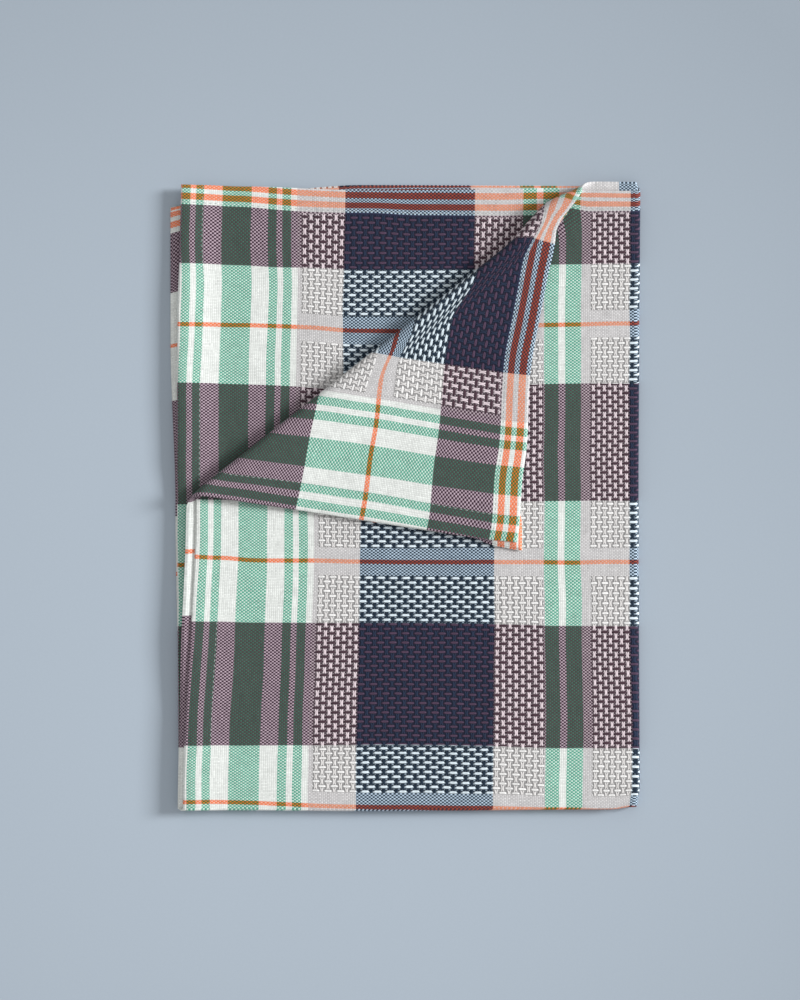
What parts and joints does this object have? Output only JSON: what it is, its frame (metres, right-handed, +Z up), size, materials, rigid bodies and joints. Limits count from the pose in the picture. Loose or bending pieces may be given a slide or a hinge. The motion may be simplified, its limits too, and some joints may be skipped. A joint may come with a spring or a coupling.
{
  "type": "dishcloth",
  "caption": "Woven cotton dishcloth with a multi-colour plaid and huck texture, folded in quarters with one corner turned back.",
  "frame": {"origin": "middle of the folded stack's footprint, on the surface it lies on", "axes": "+Z up from the surface, +Y away from the closed lower fold and towards the end hems, +X towards the closed side fold"},
  "size_m": [0.2654, 0.3548, 0.012],
  "materials": {
    "cotton": "matt woven cotton in white, sea green, beige, navy, plum and orange yarns"
  },
  "bodies": {
    "root": {"cloth": "cotton"}
  },
  "joints": []
}
